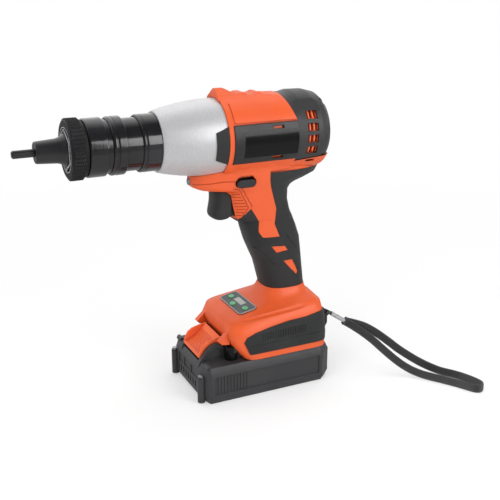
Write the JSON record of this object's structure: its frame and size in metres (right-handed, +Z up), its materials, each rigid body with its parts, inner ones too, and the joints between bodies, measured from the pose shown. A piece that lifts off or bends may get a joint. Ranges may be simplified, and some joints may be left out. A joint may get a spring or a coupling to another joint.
{
  "type": "cordless riveter",
  "caption": "Pistol-grip cordless riveter for threaded inserts, with a nose assembly, planetary drive, trigger, slide-on battery and a wrist strap.",
  "frame": {"origin": "middle of the battery's base, on the surface it stands on", "axes": "+Z up, -X along the nose, +Y to the right-hand side of the tool as its user holds it"},
  "size_m": [0.3573, 0.1563, 0.254],
  "materials": {
    "orange_shell": "fine-grained moulded plastic, satin",
    "orange_trim": "satin",
    "black_rubber": "soft-touch, matt",
    "black_shell": "fine-grained, matt",
    "satin_case": "satin, painted silver",
    "raw_aluminium": "turned",
    "black_steel": "black oxide, polished",
    "gear_steel": "ground",
    "bearing_steel": "polished",
    "copper_wire": "enamelled copper",
    "screw_steel": "blackened",
    "lens": "clear",
    "display_print": "printed film",
    "button_green": "soft key",
    "circuit_board": "solder mask",
    "cell_metal": "sleeved cells",
    "strap_web": "woven webbing",
    "crimp_clear": "silvery, translucent"
  },
  "bodies": {
    "tool": {"housing_left": "orange_shell", "housing_right": "orange_shell", "housing_screws": "screw_steel", "rear_cap": "black_shell", "fan_baffle": "orange_trim", "side_panel_left": "black_shell", "side_panel_right": "black_shell", "side_pad_left": "black_rubber", "side_pad_right": "black_rubber", "gear_case": "satin_case", "motor_plate": "raw_aluminium", "ring_gear": "gear_steel", "output_bearing": "bearing_steel", "thrust_bearing": "bearing_steel", "nosepiece": "black_steel", "nose_sleeve": "black_steel", "collar": "black_steel", "stator_core": "gear_steel", "stator_coils": "copper_wire", "front_bearing": "bearing_steel", "rear_bearing": "bearing_steel", "grip_left": "black_rubber", "grip_right": "black_rubber", "trigger_spring": "gear_steel", "trigger_switch": "black_shell", "led_lens": "lens", "foot_guard_left": "black_rubber", "foot_guard_right": "black_rubber", "display_panel": "display_print", "control_board": "circuit_board", "terminal_block": "black_shell", "strap_lug": "black_shell", "strap_loop": "strap_web", "strap_crimp": "crimp_clear", "wrist_strap": "strap_web"},
    "rotor": {"rotor": "gear_steel", "fan": "black_shell"},
    "carrier_1": {"carrier_1": "gear_steel"},
    "planet_1a": {"planet_1a": "gear_steel"},
    "planet_1b": {"planet_1b": "gear_steel"},
    "planet_1c": {"planet_1c": "gear_steel"},
    "output": {"carrier_2": "gear_steel", "ball_nut": "gear_steel"},
    "planet_2a": {"planet_2a": "gear_steel"},
    "planet_2b": {"planet_2b": "gear_steel"},
    "planet_2c": {"planet_2c": "gear_steel"},
    "spindle": {"draw_screw": "gear_steel", "mandrel_holder": "gear_steel", "mandrel": "black_steel"},
    "knurled_ring": {"knurled_ring": "black_steel"},
    "lock_ring": {"lock_ring": "black_steel"},
    "trigger": {"trigger": "black_rubber"},
    "selector": {"selector": "black_shell"},
    "button_up": {"button_up": "button_green"},
    "button_down": {"button_down": "button_green"},
    "button_set": {"button_set": "button_green"},
    "battery": {"battery_case": "black_shell", "battery_cover": "black_shell", "battery_cells": "cell_metal"},
    "latch": {"battery_latch": "orange_trim"}
  },
  "joints": [
    {"name": "rotor_spin", "type": "hinge", "parent": "tool", "child": "rotor", "pos_m": [0.011, 0, 0.216], "axis": [1, 0, 0], "continuous": true},
    {"name": "carrier_1_spin", "type": "hinge", "parent": "tool", "child": "carrier_1", "pos_m": [-0.046, 0, 0.216], "axis": [1, 0, 0], "continuous": true},
    {"name": "planet_1a_spin", "type": "hinge", "parent": "carrier_1", "child": "planet_1a", "pos_m": [-0.04, 0, 0.204], "axis": [1, 0, 0], "continuous": true},
    {"name": "planet_1b_spin", "type": "hinge", "parent": "carrier_1", "child": "planet_1b", "pos_m": [-0.04, 0.01039, 0.222], "axis": [1, 0, 0], "continuous": true},
    {"name": "planet_1c_spin", "type": "hinge", "parent": "carrier_1", "child": "planet_1c", "pos_m": [-0.04, -0.01039, 0.222], "axis": [1, 0, 0], "continuous": true},
    {"name": "output_spin", "type": "hinge", "parent": "tool", "child": "output", "pos_m": [-0.066, 0, 0.216], "axis": [1, 0, 0], "continuous": true},
    {"name": "planet_2a_spin", "type": "hinge", "parent": "output", "child": "planet_2a", "pos_m": [-0.0535, 0, 0.204], "axis": [1, 0, 0], "continuous": true},
    {"name": "planet_2b_spin", "type": "hinge", "parent": "output", "child": "planet_2b", "pos_m": [-0.0535, 0.01039, 0.222], "axis": [1, 0, 0], "continuous": true},
    {"name": "planet_2c_spin", "type": "hinge", "parent": "output", "child": "planet_2c", "pos_m": [-0.0535, -0.01039, 0.222], "axis": [1, 0, 0], "continuous": true},
    {"name": "draw_stroke", "type": "slide", "parent": "output", "child": "spindle", "axis": [1, 0, 0], "range_m": [0, 0.007]},
    {"name": "ring_turn", "type": "hinge", "parent": "tool", "child": "knurled_ring", "pos_m": [-0.143, 0, 0.216], "axis": [1, 0, 0], "range_deg": [0, 90]},
    {"name": "lock_ring_turn", "type": "hinge", "parent": "tool", "child": "lock_ring", "pos_m": [-0.113, 0, 0.216], "axis": [1, 0, 0], "range_deg": [-90, 0]},
    {"name": "trigger_pull", "type": "slide", "parent": "tool", "child": "trigger", "axis": [1, 0, 0], "range_m": [0, 0.007], "stiffness_N_per_m": 600, "deforming": ["trigger_spring"]},
    {"name": "selector_slide", "type": "slide", "parent": "tool", "child": "selector", "axis": [0, 1, 0], "range_m": [-0.002, 0.002]},
    {"name": "button_up_press", "type": "slide", "parent": "tool", "child": "button_up", "axis": [0.1961, 0, -0.9806], "range_m": [0, 0.0008], "stiffness_N_per_m": 400},
    {"name": "button_down_press", "type": "slide", "parent": "tool", "child": "button_down", "axis": [0.1961, 0, -0.9806], "range_m": [0, 0.0008], "stiffness_N_per_m": 400},
    {"name": "button_set_press", "type": "slide", "parent": "tool", "child": "button_set", "axis": [0.1961, 0, -0.9806], "range_m": [0, 0.0008], "stiffness_N_per_m": 400},
    {"name": "battery_slide", "type": "slide", "parent": "tool", "child": "battery", "axis": [-1, 0, 0], "range_m": [0, 0.085]},
    {"name": "latch_press", "type": "slide", "parent": "battery", "child": "latch", "axis": [0.6, 0, -0.8], "range_m": [0, 0.0035], "stiffness_N_per_m": 900}
  ],
  "couplings": [
    {"joint": "carrier_1_spin", "follows": "rotor_spin", "ratio": 0.2},
    {"joint": "output_spin", "follows": "rotor_spin", "ratio": 0.04},
    {"joint": "planet_1a_spin", "follows": "rotor_spin", "ratio": -0.53333},
    {"joint": "planet_1b_spin", "follows": "rotor_spin", "ratio": -0.53333},
    {"joint": "planet_1c_spin", "follows": "rotor_spin", "ratio": -0.53333},
    {"joint": "planet_2a_spin", "follows": "rotor_spin", "ratio": -0.10667},
    {"joint": "planet_2b_spin", "follows": "rotor_spin", "ratio": -0.10667},
    {"joint": "planet_2c_spin", "follows": "rotor_spin", "ratio": -0.10667}
  ]
}
